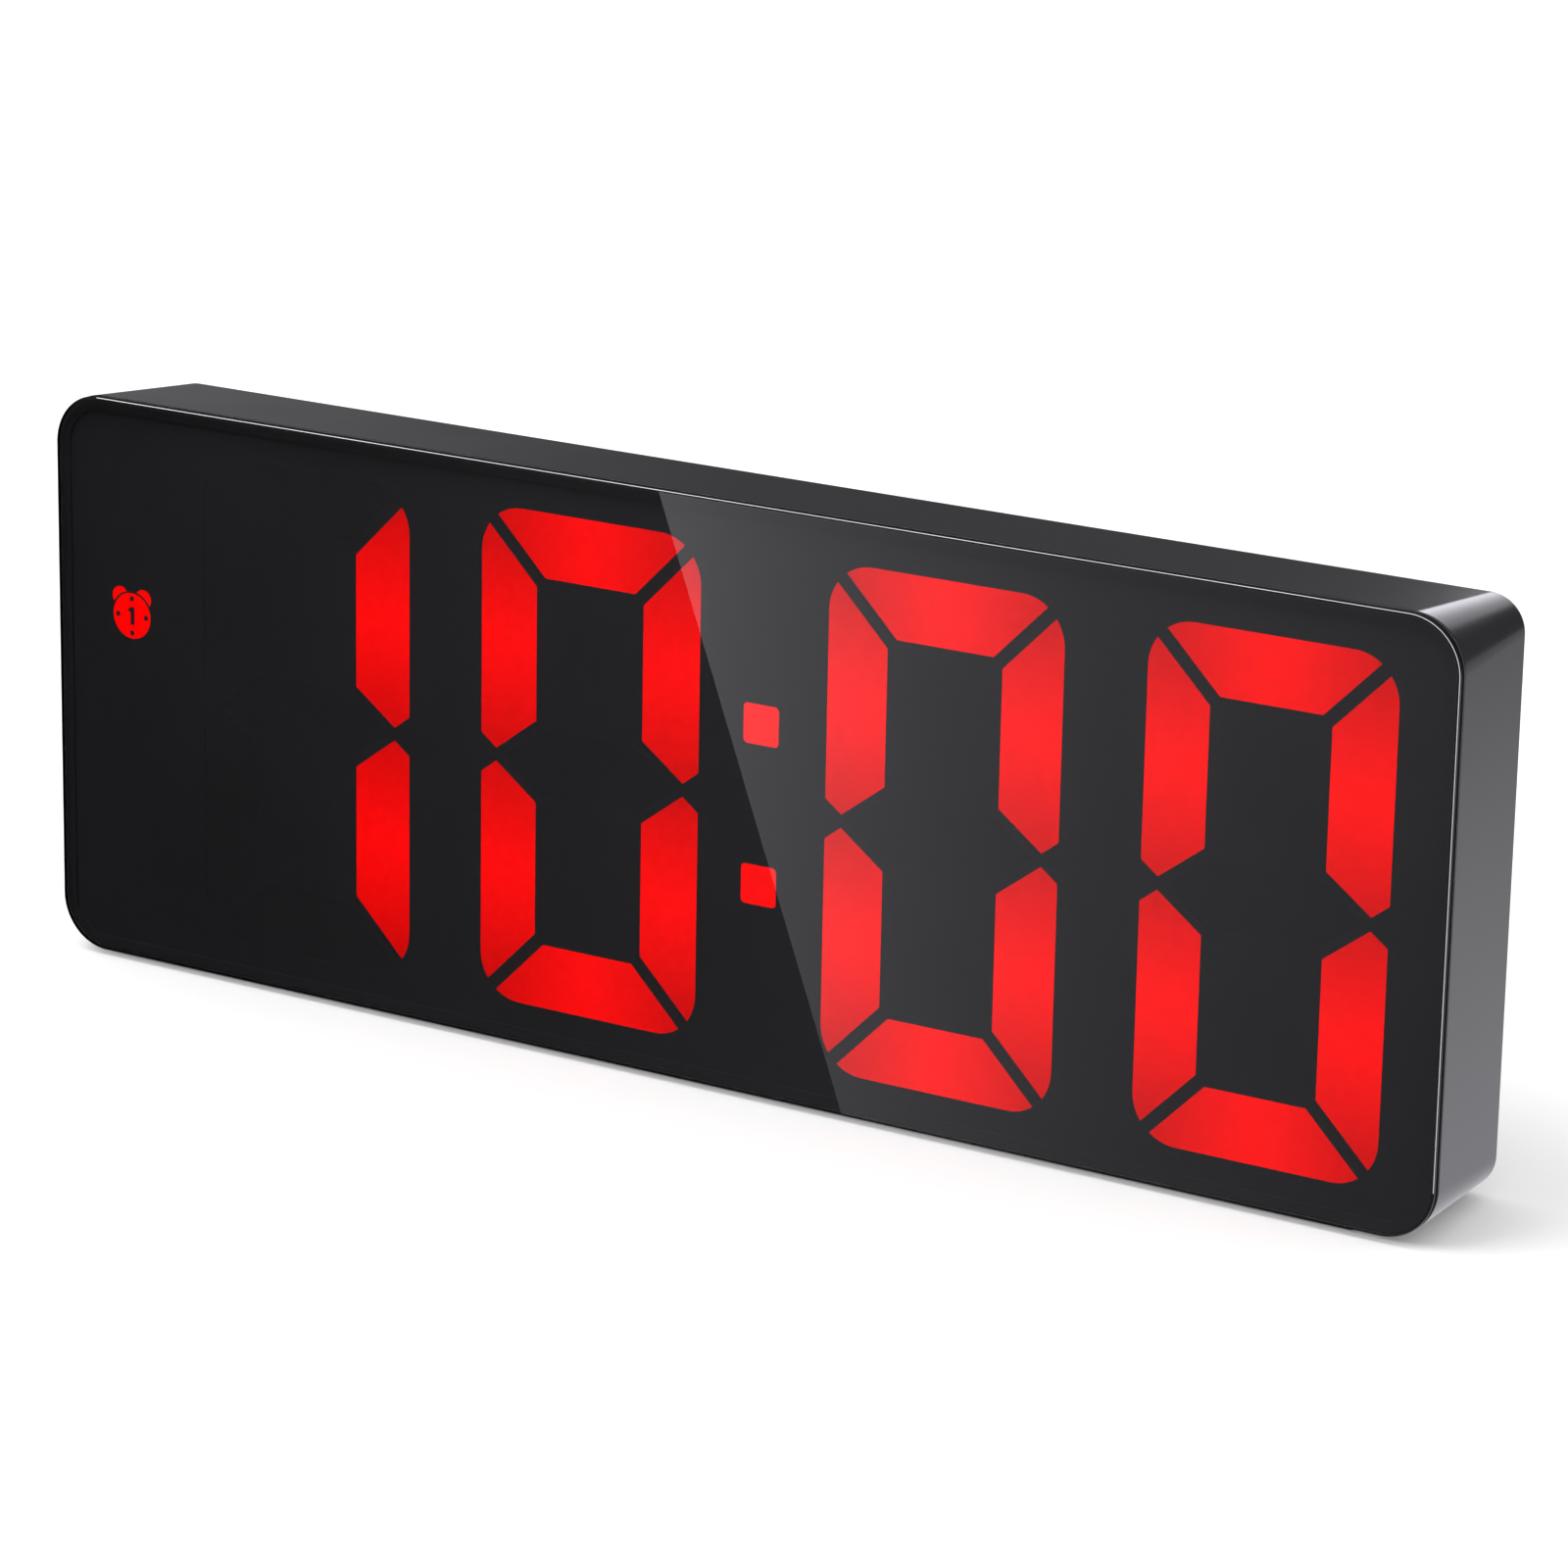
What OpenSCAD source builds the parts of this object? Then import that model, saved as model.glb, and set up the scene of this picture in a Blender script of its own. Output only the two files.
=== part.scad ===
// Digital desk alarm clock with large LED digits.
// X is the width, -Y is the display side, +Z is up. The origin is at the bottom centre of the whole clock.

/* [Case] */
// Width of the display side
case_w = 162; // [158:1:170]
// Height of the display side, without the feet
case_h = 60; // [60:1:64]
// Depth from the lens to the rear cover
case_d = 18; // [18:0.5:22]
// Radius of the corners, seen from the front
corner_r = 5.5; // [5.5:0.5:8]
// Wall thickness of the case
wall = 1.6; // [1.4:0.1:1.8]
// How much each side leans in towards the rear
side_taper = 1.8; // [0.5:0.1:1.8]
// How much the top slopes down towards the rear
top_taper = 1.5; // [0.5:0.1:1.5]
// Radius of the edge around the rear
rear_edge_r = 1.0; // [0.4:0.1:1.4]
// How far the feet lift the case
foot_proud = 0.6; // [0.4:0.1:1]

/* [Display] */
// Thickness of the front lens
lens_t = 0.8; // [0.8:0.1:1]
// Width of the polished bevel on the lens
lens_bevel = 0.2; // [0.15:0.05:0.4]
// Width of a digit
digit_w = 26.1; // [25:0.1:26.5]
// Height of a digit
digit_h = 51.5; // [50:0.1:51.5]
// Width of a segment
segment_w = 6.7; // [5.5:0.1:7]
// Radius of a digit's outer corners
digit_r = 4.8; // [3:0.1:6]
// Width of the gap between two segments
segment_gap = 1.4; // [1:0.1:1.8]
// Distance from one digit to the next
digit_pitch = 35; // [34:0.1:35]
// Extra room for the colon in the middle
colon_room = 5.8; // [5:0.1:5.8]
// Side of a colon dot
colon_dot = 4.1; // [3:0.1:4.5]

/* [Battery] */
// Diameter of a cell
cell_d = 10.2; // [9.8:0.1:10.2]
// Length of a cell, without its terminal
cell_l = 43.6; // [42:0.1:44]
// Distance from one cell to the next
cell_pitch = 10.8; // [10.6:0.1:11]

/* [Rear] */
// Thickness of the rear cover
cover_t = 2.0; // [2:0.1:2.2]
// Width of the battery door
door_w = 52; // [48:1:52]
// Width of a button
button_w = 9; // [8:0.5:11]
// Height of a button
button_h = 4; // [3.5:0.1:4.4]
// Distance from one button to the next
button_pitch = 19; // [16:1:20]
// Travel of a button
button_travel = 0.4; // [0.3:0.05:0.4]

/* [Hidden] */

$fn = 48;
eps = 0.01;          // overshoot of a cut
fit_gap = 0.15;      // gap around a piece that drops into place
move_gap = 0.3;      // gap around a piece that moves

// Depth of each layer, from the front to the rear
front_y = -case_d / 2;
rear_y = case_d / 2;
tape_t = 0.15;
tape_y = front_y + lens_t;
case_front_y = tape_y + tape_t;
film_t = 0.15;
reflector_y = case_front_y + film_t;
reflector_t = 3.05;
pcb_y = reflector_y + reflector_t;
pcb_t = 1.0;
pcb_rear_y = pcb_y + pcb_t;
cover_y = rear_y - cover_t;
pad_y = cover_y - 1.6;

// Heights
case_z = foot_proud;
rear_h = case_h - top_taper;
rear_w = case_w - 2 * side_taper;
cover_w = rear_w - 2 * wall - 2 * fit_gap;
cover_h = rear_h - 2 * wall - 2 * fit_gap;
cover_z = case_z + wall + fit_gap;
cover_r = corner_r - side_taper - wall;

// Digits: left edges counted from the left side of the face
digit_z = case_z + 4.1;
first_digit_x = -case_w / 2 + 18.9;
function digit_x(i) = first_digit_x + i * digit_pitch + (i > 1 ? colon_room : 0);
colon_x = digit_x(2) - 7.5;
colon_low_z = case_z + 21.65;
colon_high_z = case_z + 38.0;
symbol_x = -case_w / 2 + 9.35;
symbol_z = case_z + 37.1;
symbol_d = 4.9;
SEGMENTS = ["a", "b", "c", "d", "e", "f", "g"];
ONE = ["b", "c"];
ZERO = ["a", "b", "c", "d", "e", "f"];
LIT = [ONE, ZERO, ZERO, ZERO];

// Display stack
lens_rim = 0.15;         // thickness of the lens rim behind its bevel
lens_rebate = 0.35;      // how far the lens steps in behind its rim
tape_inset = 0.4;        // from the outside of the lens to the tape
window_margin = 1.5;     // from the outside of the lens to the mask
mask_gap = 0.02;         // between the tape and the mask
mask_t = 0.05;
bar_lap = 0.15;          // how far a diffusing bar reaches under the mask
reflector_margin = 1.9;  // from the outside of the case to the reflector
well_insert_t = 1.6;     // depth of a diffusing bar
pcb_w = 150;
pcb_z0 = case_z + 3.6;
pcb_z1 = case_z + 56.4;
digit_gap = digit_pitch - digit_w;
reflector_screw_x = [digit_x(0) - digit_gap / 2, digit_x(1) - digit_gap / 2, digit_x(3) - digit_gap / 2];
reflector_screw_z = [case_z + 5.6, case_z + 54.6];

// Battery pocket
pocket_wall = 0.8;
pocket_floor_y = pcb_rear_y + 0.2;
pocket_x = 26.6;                      // half of the inside width
pocket_z0 = cover_z + 1.4;
door_t = 1.2;
door_z0 = 6.0;
door_h = 35.6;
door_gap = move_gap;
pocket_z1 = door_z0 + door_h + 0.1;
cell_y = rear_y - door_t - move_gap - cell_d / 2;
cell_z0 = 13.2;                       // axis of the lowest cell
terminal_d = 3.8;
terminal_l = 0.9;
contact_t = 0.4;
contact_x = pocket_x - contact_t - 0.05;              // inner face of a contact plate
cell_flat_x = cell_l + terminal_l - contact_x;        // from the middle to a cell's flat end
hinge_tab_x = 17;
hinge_tab_w = 7;
latch_w = 13;
finger_r = 3.6;

// Buttons
button_z = 49.3;
recess_d = 0.8;
recess_y = rear_y - recess_d;
cap_rear_y = rear_y - 0.1;
flange_t = 0.8;
flange_lap = 0.9;
flange_rear_y = cover_y - move_gap;
nub_l = 0.4;
nub_y = flange_rear_y - flange_t - nub_l;
switch_top_y = nub_y - button_travel - 0.25;
switch_body_t = 3.5;
switch_side = 6;
switch_h = 4.3;
board_t = 1.0;
board_y = switch_top_y - switch_h - board_t;
board_w = 5 * button_pitch + 6;
board_h = 8.6;
BUTTONS = [for (i = [0:4]) (i - 2) * button_pitch];

// Case screws
screw_x = 71.5;
screw_z = [9.6, 49.8];
boss_r = 2.9;
screw_r = 1.15;
pilot_r = 1.2;
clearance_r = 1.5;
head_r = 2.3;
head_t = 1.5;
head_well_r = 2.6;
head_seat_y = rear_y - 2.2;

// Sound outlet and power inlet
buzzer_x = 53;
buzzer_z = 25;
buzzer_r = 6;
buzzer_h = 8.5;
usb_x = -58;
usb_z = 14;
usb_w = 7.5;
usb_h = 2.6;
usb_l = 5.4;
usb_board_t = 1.0;
usb_board_y = 0.6;

// ---------- helpers ----------

// Raises a flat outline, drawn in X and Z, into a plate between two depths
module plate(y0, y1) {
    translate([0, y1, 0]) rotate([90, 0, 0]) linear_extrude(y1 - y0) children();
}

// Rounded rectangle between two corners
module rounded(x0, z0, x1, z1, r) {
    translate([x0 + r, z0]) square([x1 - x0 - 2 * r, z1 - z0]);
    translate([x0, z0 + r]) square([x1 - x0, z1 - z0 - 2 * r]);
    for (x = [x0 + r, x1 - r], z = [z0 + r, z1 - r]) translate([x, z]) circle(r);
}

// Outline of the case at a share t of its depth, brought in by an amount. The corners tighten to the rear.
module case_outline(t, inset) {
    half = case_w / 2 - side_taper * t - inset;
    r = corner_r - side_taper * t - inset;
    rounded(-half, case_z + inset, half, case_z + case_h - top_taper * t - inset, r);
}

// Round bar along Y between two depths
module bar(x, z, r, y0, y1) {
    translate([x, y1, z]) rotate([90, 0, 0]) cylinder(r = r, h = y1 - y0);
}

// Box between two corners
module box(x0, y0, z0, x1, y1, z1) {
    translate([x0, y0, z0]) cube([x1 - x0, y1 - y0, z1 - z0]);
}

// Pan head with a cross slot, and its shank. The head faces +Y, or -Y when it is turned.
module pan_screw(r_head, t_head, r_shank, l_shank) {
    slot = r_head * 0.22;
    reach = r_head * 0.62;
    difference() {
        union() {
            bar(0, 0, r_head, 0, t_head);
            bar(0, 0, r_shank, -l_shank, eps);
        }
        box(-reach, t_head * 0.45, -slot, reach, t_head + eps, slot);
        box(-slot, t_head * 0.45, -reach, slot, t_head + eps, reach);
    }
}

// ---------- segments ----------

middle_z = digit_h / 2;
mitre = segment_gap / sqrt(2);           // shift of a 45 degree mitre along an edge
tip_x = 1.85;                            // from the outer edge to a tip in the middle
tip_z = segment_gap / 2 - 0.05;
outer_rise = 1.4;
inner_rise = 3.6;
bar_tip_x = tip_x + mitre;
bar_end_x = segment_w + 0.7;

// Upper left bar
module bar_f() {
    polygon([
        [0, digit_h - mitre], [segment_w, digit_h - segment_w - mitre],
        [segment_w, middle_z + tip_z + inner_rise], [tip_x, middle_z + tip_z],
        [0, middle_z + tip_z + outer_rise]
    ]);
}

// Top bar
module bar_a() {
    polygon([
        [mitre, digit_h], [digit_w - mitre, digit_h],
        [digit_w - segment_w - mitre, digit_h - segment_w], [segment_w + mitre, digit_h - segment_w]
    ]);
}

// Middle bar
module bar_g() {
    polygon([
        [bar_tip_x, middle_z], [bar_end_x, middle_z + segment_w / 2],
        [digit_w - bar_end_x, middle_z + segment_w / 2], [digit_w - bar_tip_x, middle_z],
        [digit_w - bar_end_x, middle_z - segment_w / 2], [bar_end_x, middle_z - segment_w / 2]
    ]);
}

module flip_x() { translate([digit_w, 0]) mirror([1, 0]) children(); }
module flip_z() { translate([0, digit_h]) mirror([0, 1]) children(); }

module segment(name) {
    intersection() {
        rounded(0, 0, digit_w, digit_h, digit_r);
        union() {
            if (name == "a") bar_a();
            if (name == "b") flip_x() bar_f();
            if (name == "c") flip_x() flip_z() bar_f();
            if (name == "d") flip_z() bar_a();
            if (name == "e") flip_z() bar_f();
            if (name == "f") bar_f();
            if (name == "g") bar_g();
        }
    }
}

// Chosen segments of digit i
module digit_outline(i, names) {
    translate([digit_x(i), digit_z]) for (name = names) segment(name);
}

module colon_outline() {
    half = colon_dot / 2;
    for (z = [colon_low_z, colon_high_z])
        translate([colon_x, z]) rounded(-half, -half, half, half, 0.5);
}

// Round clock with two bells
module symbol_outline() {
    bell_r = 1.05;
    bell_x = 1.5;
    bell_z = 1.95;
    bell_gap = 0.2;
    translate([symbol_x, symbol_z]) {
        circle(d = symbol_d);
        difference() {
            for (side = [-1, 1]) translate([side * bell_x, bell_z]) circle(bell_r);
            circle(d = symbol_d + 2 * bell_gap);
        }
    }
}

// Hour marks and the number of the alarm, printed over the symbol
module symbol_marks() {
    mark_ring = 1.84;
    mark_r = 0.27;
    numeral_h = 1.9;
    stroke = 0.46;
    translate([symbol_x, symbol_z]) {
        for (a = [0:90:270]) rotate(a) translate([mark_ring, 0]) circle(mark_r);
        translate([-0.18, -numeral_h / 2]) square([stroke, numeral_h]);
        translate([-0.46, 0.45]) square([0.3, 0.36]);
    }
}

// Windows in the mask
module all_windows() {
    for (i = [0:3]) digit_outline(i, SEGMENTS);
    colon_outline();
    difference() {
        symbol_outline();
        symbol_marks();
    }
}

// Diffusing bars of digit i, a little larger than their windows
module digit_bars(i, names) {
    translate([digit_x(i), digit_z]) for (name = names) offset(delta = bar_lap) segment(name);
}

module colon_bars() { offset(delta = bar_lap) colon_outline(); }
module symbol_bar() { offset(delta = bar_lap) symbol_outline(); }

module all_bars() {
    for (i = [0:3]) digit_bars(i, SEGMENTS);
    colon_bars();
    symbol_bar();
}

// ---------- display ----------

module front_lens() {
    bevel_y = front_y + lens_bevel;
    color([0.1, 0.1, 0.11]) {
        hull() {
            plate(front_y, front_y + eps) case_outline(0, lens_bevel);
            plate(bevel_y, bevel_y + lens_rim) case_outline(0, 0);
        }
        plate(bevel_y, tape_y) case_outline(0, lens_rebate);
    }
}

module lens_tape() {
    color([0.03, 0.03, 0.03]) plate(tape_y, case_front_y) difference() {
        case_outline(0, tape_inset);
        case_outline(0, window_margin);
    }
}

module display_mask() {
    color([0.02, 0.02, 0.02]) plate(case_front_y - mask_t, case_front_y) difference() {
        case_outline(0, window_margin + mask_gap);
        all_windows();
    }
}

module diffuser_film() {
    color([0.85, 0.85, 0.85]) plate(case_front_y, reflector_y) case_outline(0, reflector_margin);
}

module lit_digit(i) {
    color([1, 0.02, 0.02]) plate(reflector_y, reflector_y + well_insert_t) digit_bars(i, LIT[i]);
}

module digit_1_segments() { lit_digit(0); }
module digit_2_segments() { lit_digit(1); }
module digit_3_segments() { lit_digit(2); }
module digit_4_segments() { lit_digit(3); }

function has(list, item) = len(search([item], list, 0)[0]) > 0;

module unlit_segments() {
    color([0.3, 0.3, 0.3]) plate(reflector_y, reflector_y + well_insert_t)
        for (i = [0:3]) digit_bars(i, [for (name = SEGMENTS) if (!has(LIT[i], name)) name]);
}

module colon_dots() {
    color([1, 0.02, 0.02]) plate(reflector_y, reflector_y + well_insert_t) colon_bars();
}

module alarm_symbol() {
    color([1, 0.02, 0.02]) plate(reflector_y, reflector_y + well_insert_t) symbol_bar();
}

module segment_reflector() {
    color([0.9, 0.9, 0.88]) difference() {
        plate(reflector_y, pcb_y) case_outline(0.2, reflector_margin);
        plate(reflector_y - eps, pcb_y + eps) all_bars();
        for (x = reflector_screw_x, z = reflector_screw_z) bar(x, z, 0.8, pcb_y - 2.4, pcb_y + eps);
    }
}

// ---------- main board ----------

module main_pcb() {
    color([0.05, 0.3, 0.14]) difference() {
        plate(pcb_y, pcb_rear_y) rounded(-pcb_w / 2, pcb_z0, pcb_w / 2, pcb_z1, 1.5);
        for (x = reflector_screw_x, z = reflector_screw_z) bar(x, z, 1.0, pcb_y - eps, pcb_rear_y + eps);
    }
}

led_w = 1.6;
led_h = 0.8;
led_t = 0.6;

// One chip, long side along X or along Z
module led(x, z, upright) {
    half_x = (upright ? led_h : led_w) / 2;
    half_z = (upright ? led_w : led_h) / 2;
    box(x - half_x, pcb_y - led_t, z - half_z, x + half_x, pcb_y, z + half_z);
}

module led_chips() {
    spread = digit_h * 0.07;
    across = digit_w * 0.13;
    color([0.95, 0.9, 0.7]) {
        for (i = [0:3]) translate([digit_x(i), 0, digit_z]) {
            for (side = [0, 1], level = [0.28, 0.72], end = [-1, 1])
                led(side ? digit_w - segment_w / 2 : segment_w / 2, digit_h * level + end * spread, true);
            for (z = [segment_w / 2, middle_z, digit_h - segment_w / 2], end = [-1, 1])
                led(digit_w / 2 + end * across, z, false);
        }
        led(colon_x, colon_low_z, false);
        led(colon_x, colon_high_z, false);
        led(symbol_x, symbol_z, false);
    }
}

module reflector_screws() {
    color([0.75, 0.75, 0.76]) for (x = reflector_screw_x, z = reflector_screw_z)
        translate([x, pcb_rear_y, z]) pan_screw(1.5, 0.8, 0.75, 3);
}

module controller_chip() {
    side = 10;
    x = -46;
    z = 26;
    lead = 1;
    pin_pitch = 1.2;
    color([0.08, 0.08, 0.08]) {
        box(x - side / 2, pcb_rear_y + 0.1, z - side / 2, x + side / 2, pcb_rear_y + 1.5, z + side / 2);
        for (i = [-3:3], turn = [0:90:270])
            translate([x, 0, z]) rotate([0, turn, 0])
                box(side / 2 - eps, pcb_rear_y, i * pin_pitch - 0.2,
                    side / 2 + lead, pcb_rear_y + 0.3, i * pin_pitch + 0.2);
    }
}

module clock_crystal() {
    r = 1.5;
    length = 8;
    color([0.78, 0.78, 0.8]) translate([-60, pcb_rear_y + r, 30]) cylinder(r = r, h = length);
}

module filter_capacitor() {
    x = 38;
    z = 16;
    r = 3.15;
    top = pcb_rear_y + 7;
    score_l = 2.5;
    score_w = 0.1;
    score_y = top - 0.2;
    color([0.1, 0.12, 0.2]) difference() {
        bar(x, z, r, pcb_rear_y, top);
        // cross scored in the end of the can
        box(x - score_l, score_y, z - score_w, x + score_l, top + eps, z + score_w);
        box(x - score_w, score_y, z - score_l, x + score_w, top + eps, z + score_l);
    }
}

module chip_resistors() {
    first_x = -40;
    pitch = 2.6;
    half = 0.6;
    length = 2;
    z = 43.5;
    color([0.1, 0.1, 0.1]) for (i = [0:7]) {
        x = first_x + i * pitch;
        box(x - half, pcb_rear_y, z, x + half, pcb_rear_y + 0.5, z + length);
    }
}

module buzzer() {
    color([0.07, 0.07, 0.08]) difference() {
        bar(buzzer_x, buzzer_z, buzzer_r, pcb_rear_y, pcb_rear_y + buzzer_h);
        bar(buzzer_x, buzzer_z, 1, pcb_rear_y + buzzer_h - 2, pcb_rear_y + buzzer_h + eps);
    }
}

// ---------- case ----------

rear_steps = 4;

// Solid filled by the case, brought in by an amount, with a rounded edge at the rear
module case_solid(inset, edge, y0, y1) {
    hull() {
        plate(y0, y0 + eps) case_outline(0, inset);
        for (i = [0:rear_steps]) {
            a = 90 * i / rear_steps;
            y = y1 - edge * (1 - sin(a));
            plate(y - eps, y) case_outline(1, inset + edge * (1 - cos(a)));
        }
    }
}

module case_screw_boss(x, z) {
    side = sign(x);
    web = 0.7;
    wall_x = rear_w / 2;
    bar(x, z, boss_r, pcb_rear_y + 0.1, pad_y);
    box(min(x, side * wall_x), pcb_rear_y + 0.1, z - web, max(x, side * wall_x), pad_y, z + web);
}

foot_x = 62;
foot_y = 5;
foot_w = 12;
foot_l = 4;
foot_sink = 0.5;

module foot_outline() {
    translate([-foot_w / 2 + foot_l / 2, -foot_l / 2]) square([foot_w - foot_l, foot_l]);
    for (side = [-1, 1]) translate([side * (foot_w - foot_l) / 2, 0]) circle(d = foot_l);
}

module at_feet() {
    for (x = [-foot_x, foot_x], y = [-foot_y, foot_y]) translate([x, y, 0]) children();
}

module case_shell() {
    color([0.25, 0.25, 0.27]) difference() {
        union() {
            difference() {
                case_solid(0, rear_edge_r, case_front_y, rear_y);
                case_solid(wall, 0, case_front_y - eps, rear_y + eps);
            }
            for (x = [-screw_x, screw_x], z = screw_z) case_screw_boss(x, z);
        }
        for (x = [-screw_x, screw_x], z = screw_z) bar(x, z, pilot_r, pad_y - 7.5, pad_y + eps);
        translate([0, 0, case_z - eps]) at_feet() linear_extrude(foot_sink + eps) foot_outline();
    }
}

module rubber_feet() {
    color([0.06, 0.06, 0.06]) at_feet() linear_extrude(foot_proud + foot_sink) foot_outline();
}

module case_screws() {
    color([0.7, 0.7, 0.72]) for (x = [-screw_x, screw_x], z = screw_z)
        translate([x, head_seat_y, z]) pan_screw(head_r, head_t, screw_r, 7.5);
}

// ---------- rear cover ----------

module button_outline(grow) {
    for (x = BUTTONS)
        rounded(x - button_w / 2 - grow, button_z - button_h / 2 - grow,
                x + button_w / 2 + grow, button_z + button_h / 2 + grow, 1.2 + grow);
}

post_x = board_w / 2 - 3;

module rear_cover_solid() {
    half = cover_w / 2;
    plate(cover_y, rear_y) rounded(-half, cover_z, half, cover_z + cover_h, cover_r);
    for (x = [-screw_x, screw_x], z = screw_z) bar(x, z, boss_r + 0.6, pad_y, cover_y + eps);
    // battery pocket
    box(-pocket_x - pocket_wall, pocket_floor_y, pocket_z0 - pocket_wall,
        pocket_x + pocket_wall, cover_y + eps, pocket_z1 + pocket_wall);
    // posts that carry the button board
    for (x = [-post_x, post_x]) bar(x, button_z, 2.4, board_y + board_t, cover_y + eps);
    // ribs that hold the power inlet's board
    for (side = [-1, 1]) {
        x = usb_x + side * (usb_w / 2 + 2.4);
        box(x - 0.7, usb_board_y, usb_z - 3, x + 0.7, cover_y + eps, usb_z + 2.6);
    }
}

module battery_space() {
    box(-pocket_x, pocket_floor_y + pocket_wall, pocket_z0, pocket_x, cover_y, pocket_z1);
    box(-door_w / 2 - door_gap, cover_y - eps, door_z0 - door_gap,
        door_w / 2 + door_gap, rear_y + eps, door_z0 + door_h + door_gap);
    // room for a fingertip over the latch
    bar(0, door_z0 + door_h - 1, finger_r, recess_y, rear_y + eps);
}

module sound_holes() {
    hole_r = 0.8;
    ring = 3.2;
    bar(buzzer_x, buzzer_z, hole_r, cover_y - eps, rear_y + eps);
    for (a = [0:60:300])
        bar(buzzer_x + ring * cos(a), buzzer_z + ring * sin(a), hole_r, cover_y - eps, rear_y + eps);
}

module rear_cover() {
    recess_x = 2 * button_pitch + button_w / 2 + 4;
    recess_z = button_h / 2 + 1.9;
    color([0.2, 0.2, 0.21]) difference() {
        rear_cover_solid();
        battery_space();
        sound_holes();
        // shallow trough with the five button holes
        plate(recess_y, rear_y + eps)
            rounded(-recess_x, button_z - recess_z, recess_x, button_z + recess_z, 2.5);
        plate(cover_y - eps, rear_y) button_outline(move_gap);
        // screw holes
        for (x = [-screw_x, screw_x], z = screw_z) {
            bar(x, z, clearance_r, pad_y - eps, rear_y);
            bar(x, z, head_well_r, head_seat_y, rear_y + eps);
        }
        for (x = [-post_x, post_x]) bar(x, button_z, 0.8, board_y + board_t - eps, cover_y - 0.5);
        // mouth of the power inlet, and the slots for its board
        plate(cover_y - eps, rear_y + eps)
            rounded(usb_x - usb_w / 2 - 0.4, usb_z - usb_h / 2 - 0.4,
                    usb_x + usb_w / 2 + 0.4, usb_z + usb_h / 2 + 0.4, 0.8);
        box(usb_x - usb_w / 2 - 2.5, 0, usb_z - usb_h / 2 - usb_board_t,
            usb_x + usb_w / 2 + 2.5, cover_y, usb_z - usb_h / 2);
        // holes for the two battery leads
        for (side = [-1, 1]) {
            x = side * (pocket_x + pocket_wall / 2);
            z = lead_z(side);
            box(x - pocket_wall, lead_y - 0.9, z - 0.9, x + pocket_wall, lead_y + 0.9, z + 0.9);
        }
    }
}

// ---------- battery ----------

CELL_COUNT = 3;
function cell_z(i) = cell_z0 + i * cell_pitch;
function cell_way(i) = i % 2 == 0 ? 1 : -1;     // side of the plus terminal

// The three cells lie one above the other, each turned the other way round
module battery_cell(i) {
    color([0.2, 0.45, 0.3]) translate([-cell_way(i) * cell_flat_x, cell_y, cell_z(i)])
        rotate([0, 90 * cell_way(i), 0]) rotate_extrude() {
            square([cell_d / 2 - 0.4, cell_l]);
            translate([0, 0.4]) square([cell_d / 2, cell_l - 0.8]);
            square([terminal_d / 2, cell_l + terminal_l]);
        }
}

module battery_cell_1() { battery_cell(0); }
module battery_cell_2() { battery_cell(1); }
module battery_cell_3() { battery_cell(2); }

spring_wire = 0.35;
spring_turns = 4;

// Contact plates: a short one at each end of the chain, and two that join one cell to the next
CONTACTS = [[-1, 0, 0], [1, 0, 1], [-1, 1, 2], [1, 2, 2]];

module battery_contacts() {
    foot = pocket_floor_y + pocket_wall + 0.1;
    color([0.8, 0.8, 0.78]) for (c = CONTACTS)
        mirror([c[0] < 0 ? 1 : 0, 0, 0])
            box(contact_x, foot, cell_z(c[1]) - 4.2, contact_x + contact_t, cell_y + 3.4, cell_z(c[2]) + 4.2);
}

// Conical coil spring along +Z, from a small end to a wide one
module cone_spring(r0, r1, length, wire, turns) {
    sides = 6;
    turn_steps = 14;
    steps = turn_steps * turns;
    points = [
        for (i = [0:steps], j = [0:sides - 1])
            let (a = 360 * i / turn_steps, b = 360 * j / sides)
            let (r = r0 + (r1 - r0) * i / steps + wire * cos(b))
            [r * cos(a), r * sin(a), wire + (length - 2 * wire) * i / steps + wire * sin(b)]
    ];
    around = [
        for (i = [0:steps - 1], j = [0:sides - 1])
            let (k = (j + 1) % sides)
            [i * sides + j, (i + 1) * sides + j, (i + 1) * sides + k, i * sides + k]
    ];
    ends = [
        [for (j = [0:sides - 1]) j],
        [for (j = [0:sides - 1]) steps * sides + sides - 1 - j]
    ];
    polyhedron(points, concat(around, ends), convexity = 6);
}

// One spring presses on the flat end of each cell
module battery_springs() {
    spring_l = contact_x - cell_flat_x;
    color([0.82, 0.82, 0.8]) for (i = [0:CELL_COUNT - 1])
        translate([-cell_way(i) * cell_flat_x, cell_y, cell_z(i)])
            rotate([0, -90 * cell_way(i), 0]) cone_spring(1.8, 3.6, spring_l, spring_wire, spring_turns);
}

lead_r = 0.6;
lead_y = pocket_floor_y + 1.9;
function lead_z(side) = cell_z(side > 0 ? CELL_COUNT - 1 : 0);

// Wire from a contact plate, out through the pocket wall and down to the main board
module battery_lead(side) {
    x0 = contact_x + contact_t;
    x1 = pocket_x + 5;
    r = 1.5;
    translate([0, 0, lead_z(side)]) mirror([side < 0 ? 1 : 0, 0, 0]) {
        translate([x0, lead_y, 0]) rotate([0, 90, 0]) cylinder(r = lead_r, h = x1 - r - x0);
        translate([x1 - r, lead_y - r, 0]) rotate_extrude(angle = 90) translate([r, 0]) circle(lead_r);
        translate([x1, lead_y - r, 0]) rotate([90, 0, 0]) cylinder(r = lead_r, h = lead_y - r - pcb_rear_y);
    }
}

module battery_lead_red() { color([0.75, 0.05, 0.05]) battery_lead(1); }
module battery_lead_black() { color([0.05, 0.05, 0.05]) battery_lead(-1); }

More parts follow.
